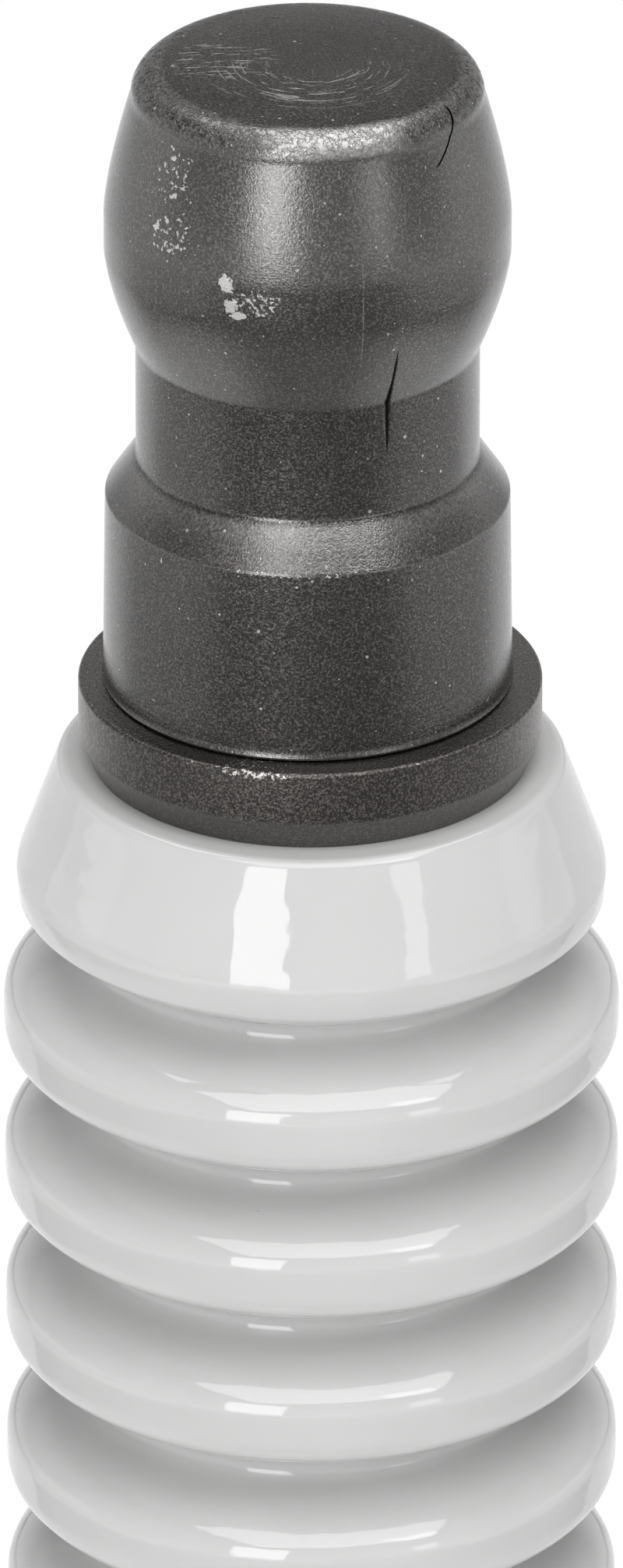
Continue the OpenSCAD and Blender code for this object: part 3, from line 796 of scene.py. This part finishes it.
def nickel_alloy():
    """Drawn nickel alloy: lengthwise drawing lines, a faint heat tint and small pits."""
    look = Look("nickel_alloy", Metallic=1.0)
    along = look.at(look.times(look.x, 9), look.times(look.y, 16), look.times(look.z, 1.2))
    lines = look.noise(1, 3, 0.7, at=along)
    grain = look.noise(20, 3, 0.6)
    heat = look.noise(0.9, 3, 0.6)
    pits = look.dots(2.6, 0.03, 0.25)
    plain = look.mix(lines, (0.36, 0.345, 0.32), (0.52, 0.50, 0.465))
    tinted = look.mix(look.ramp(heat, 0.45, 0.75, 0, 0.6), plain, (0.33, 0.26, 0.2))
    look.set(Base_Color=look.mix(look.times(pits, 0.6), tinted, (0.1, 0.09, 0.08)))
    look.set(Roughness=look.ramp(grain, 0.3, 0.75, 0.34, 0.5))
    height = look.add(look.times(lines, 0.7), look.times(grain, 0.3), look.times(pits, -1))
    look.set(Normal=look.bump(height, 0.012))
    return look.material


def packed_powder():
    """Pressed talc: chalky, with tiny crumbs and faint darker layers."""
    look = Look("talc", Metallic=0.0)
    crumbs = look.noise(14, 5, 0.7)
    layers = look.noise(1, 2, 0.6, at=look.at(z=look.times(look.z, 5)))
    plain = look.mix(layers, (0.72, 0.69, 0.62), (0.84, 0.81, 0.74))
    look.set(Base_Color=look.mix(look.ramp(crumbs, 0.55, 0.7, 0, 0.4), plain, (0.55, 0.52, 0.46)))
    look.set(Roughness=look.ramp(crumbs, 0.3, 0.7, 0.8, 0.95))
    look.set(Normal=look.bump(crumbs, 0.04))
    return look.material


def conductive_glass():
    """Dark sealing glass full of copper grains."""
    look = Look("conductive_glass")
    grains = look.dots(5, 0.07, 0.45)
    flow = look.noise(2.2, 4, 0.6, bend=1.0)
    plain = look.mix(flow, (0.07, 0.055, 0.045), (0.15, 0.115, 0.09))
    look.set(Base_Color=look.mix(grains, plain, (0.62, 0.33, 0.22)))
    look.set(Metallic=grains)
    look.set(Roughness=look.ramp(flow, 0.3, 0.7, 0.22, 0.42))
    look.set(Normal=look.bump(look.add(flow, grains), 0.02))
    return look.material


def resistor_carbon():
    """Fired resistor mass: matt black with pale filler grains."""
    look = Look("resistor_carbon", Metallic=0.0)
    filler = look.dots(6, 0.06, 0.3)
    mass = look.noise(7, 4, 0.65)
    plain = look.mix(mass, (0.025, 0.025, 0.026), (0.075, 0.074, 0.075))
    look.set(Base_Color=look.mix(look.times(filler, 0.6), plain, (0.38, 0.37, 0.35)))
    look.set(Roughness=look.ramp(mass, 0.3, 0.7, 0.6, 0.85))
    look.set(Normal=look.bump(mass, 0.03))
    return look.material


def copper():
    """Extruded copper: lengthwise lines and a faint brown tarnish."""
    look = Look("copper", Metallic=1.0)
    lines = look.noise(1, 3, 0.7, at=look.at(look.times(look.x, 12), look.times(look.y, 12), look.z))
    tarnish = look.noise(1.8, 4, 0.6)
    plain = look.mix(lines, (0.74, 0.36, 0.23), (0.86, 0.46, 0.32))
    look.set(Base_Color=look.mix(look.ramp(tarnish, 0.5, 0.8, 0, 0.7), plain, (0.33, 0.16, 0.1)))
    look.set(Roughness=look.ramp(tarnish, 0.3, 0.8, 0.25, 0.45))
    look.set(Normal=look.bump(lines, 0.01))
    return look.material


# ---------------------------------------------------------------- studio


# The camera's lens and sensor are in millimetres; the other lengths of the studio are in metres.
LENS = 493.74
SENSOR = 36
CAMERA_ELEVATION = math.radians(26.1)
CAMERA_DISTANCE = 0.33851
CAMERA_PITCH = math.radians(26.168)
AIM_BELOW_TOP = 0.012
FLOOR_HALF = 15
CARD_LIFT = 0.0005


def photographer():
    """The camera: a long lens close to the terminal, looking down on it."""
    data = bpy.data.cameras.new("camera")
    data.lens = LENS
    data.sensor_width = SENSOR
    data.clip_start = 0.01
    camera = bpy.data.objects.new("camera", data)
    aim = Vector((0, 0, TOP * MM - AIM_BELOW_TOP))
    back = Vector((0, -math.cos(CAMERA_ELEVATION), math.sin(CAMERA_ELEVATION)))
    camera.location = aim + back * CAMERA_DISTANCE
    camera.rotation_euler = (math.pi / 2 - CAMERA_PITCH, 0, 0)
    bpy.context.scene.collection.objects.link(camera)
    bpy.context.scene.camera = camera


def softbox(name, azimuth, elevation, distance, width, height, radiance):
    """An area light. Azimuth 0 is on the camera's side, and positive azimuths are to its right."""
    data = bpy.data.lights.new(name, "AREA")
    data.shape = "RECTANGLE"
    data.size, data.size_y = width, height
    data.energy = radiance * math.pi * width * height
    light = bpy.data.objects.new(name, data)
    a, e = math.radians(azimuth), math.radians(elevation)
    away = Vector((math.sin(a) * math.cos(e), -math.cos(a) * math.cos(e), math.sin(e)))
    light.location = Vector((0, 0, TOP * MM)) + away * distance
    light.rotation_euler = away.to_track_quat("Z", "Y").to_euler()
    light.visible_camera = False
    bpy.context.scene.collection.objects.link(light)


def room():
    """A room with pale walls at the sides and behind, dim overhead and on the camera's side."""
    world = bpy.data.worlds.new("room")
    world.use_nodes = True
    tree = world.node_tree
    place = tree.nodes.new("ShaderNodeTexCoord")
    parts = tree.nodes.new("ShaderNodeSeparateXYZ")
    tree.links.new(place.outputs["Generated"], parts.inputs[0])
    both = tree.nodes.new("ShaderNodeMath")
    both.operation = "MULTIPLY"
    for socket, axis, ramp in ((0, "Y", (-0.75, 0.2, 0.5, 0.78)), (1, "Z", (0.05, 0.42, 1.0, 0.2))):
        fade = tree.nodes.new("ShaderNodeMapRange")
        fade.interpolation_type = "SMOOTHSTEP"
        for name, value in zip(("From Min", "From Max", "To Min", "To Max"), ramp):
            fade.inputs[name].default_value = value
        tree.links.new(parts.outputs[axis], fade.inputs["Value"])
        tree.links.new(fade.outputs[0], both.inputs[socket])
    tree.links.new(both.outputs[0], tree.nodes["Background"].inputs["Strength"])
    tree.nodes["Background"].inputs["Color"].default_value = (1, 1, 1, 1)
    bpy.context.scene.world = world


def staged(name, corners, faces, look):
    """A flat thing of the studio's own."""
    mesh = bpy.data.meshes.new(name)
    mesh.from_pydata(corners, [], faces)
    mesh.materials.append(look.material)
    thing = bpy.data.objects.new(name, mesh)
    bpy.context.scene.collection.objects.link(thing)
    return thing


def floor():
    """A large pale floor under the plug."""
    z = CAD_BOX[0].z
    corners = [(x * FLOOR_HALF, y * FLOOR_HALF, z) for x, y in ((-1, -1), (1, -1), (1, 1), (-1, 1))]
    look = Look("floor_paper", Metallic=0.0, Roughness=0.9)
    look.set(Base_Color=look.mix(look.noise(0.02, 2, 0.5), (0.84, 0.84, 0.84), (0.87, 0.87, 0.87)))
    staged("floor", corners, [(0, 1, 2, 3)], look)


def dark_card():
    """A dark card lying round the front of the plug, which only its reflections show."""
    z = CAD_BOX[0].z + CARD_LIFT
    spread, near, far, steps = math.radians(125), 0.022, 0.5, 24
    corners = []
    for a in np.linspace(-spread, spread, steps + 1):
        for reach in (near, far):
            corners.append((reach * math.sin(a), -reach * math.cos(a), z))
    faces = [(2 * i, 2 * i + 1, 2 * i + 3, 2 * i + 2) for i in range(steps)]
    look = Look("card_paper", Metallic=0.0, Roughness=0.9)
    azimuth = look.math("ABSOLUTE", look.angle())
    radius = look.radius()
    close = look.times(look.ramp(radius, 60, 105, 1, 0), look.ramp(azimuth, 0.6, 1.4, 0.3, 1.2))
    reach = look.times(radius, look.ramp(azimuth, 0.6, 1.2, 1, 2.2))
    pale = look.most(look.ramp(azimuth, 1.1, 1.9, 0, 0.35), close, look.ramp(reach, 300, 345, 0, 1))
    look.set(Base_Color=look.mix(pale, (0.12, 0.12, 0.12), (0.75, 0.75, 0.75)))
    card = staged("dark_card", corners, faces, look)
    card.visible_camera = False
    card.visible_diffuse = False
    card.visible_shadow = False


def studio():
    """The room, the floor, the card and the soft boxes."""
    bpy.context.scene.view_settings.view_transform = "Standard"
    room()
    floor()
    dark_card()
    softbox("key_left", -20, 13, 0.6, 0.22, 0.41, 5.4)
    softbox("fill_right", 41, 5, 0.6, 0.12, 0.2, 2.3)
    softbox("wide_right", 22, 8, 0.65, 0.65, 0.35, 0.09)
    softbox("high_right", 47, 48, 0.6, 0.15, 0.12, 3)
    softbox("overhead", 13, 66, 0.7, 0.8, 0.55, 3.25)
    softbox("top_back", 180, 70, 0.9, 0.9, 0.5, 3.3)
    for sign, part in ((-1, "left"), (1, "right")):
        softbox("side_" + part, 103 * sign, -3, 0.45, 0.3, 0.12, 0.5)
        softbox("back_" + part, 138 * sign, 33, 0.8, 0.45, 0.4, 0.25)


# ---------------------------------------------------------------- the plug


NICKEL = nickel_alloy()
PACKING_STEEL = plated_steel("packing_steel", (0.3, 0.3, 0.31), (0.42, 0.42, 0.43), 0.4, 0.5)
GLASS = conductive_glass()

terminal_nut(terminal_plating())
terminal_stud(stud_plating())
insulator(glazed_alumina())
shell(plated_steel("shell_plating", (0.42, 0.415, 0.4), (0.6, 0.59, 0.57), 0.3, 0.35))
gasket(plated_steel("gasket_steel", (0.4, 0.4, 0.39), (0.56, 0.56, 0.54), 0.34, 0.3))
center_electrode(NICKEL)
ground_electrode(NICKEL)

CAD_LOOKS = {
    "upper_glass_seal": GLASS,
    "lower_glass_seal": GLASS,
    "resistor": resistor_carbon(),
    "center_electrode_core": copper(),
    "seat_packing_washer": PACKING_STEEL,
    "lower_packing_ring": PACKING_STEEL,
    "upper_packing_ring": PACKING_STEEL,
    "talc_seal": packed_powder(),
}
for node, look in CAD_LOOKS.items():
    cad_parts[node].material_slots[0].material = look

photographer()
studio()
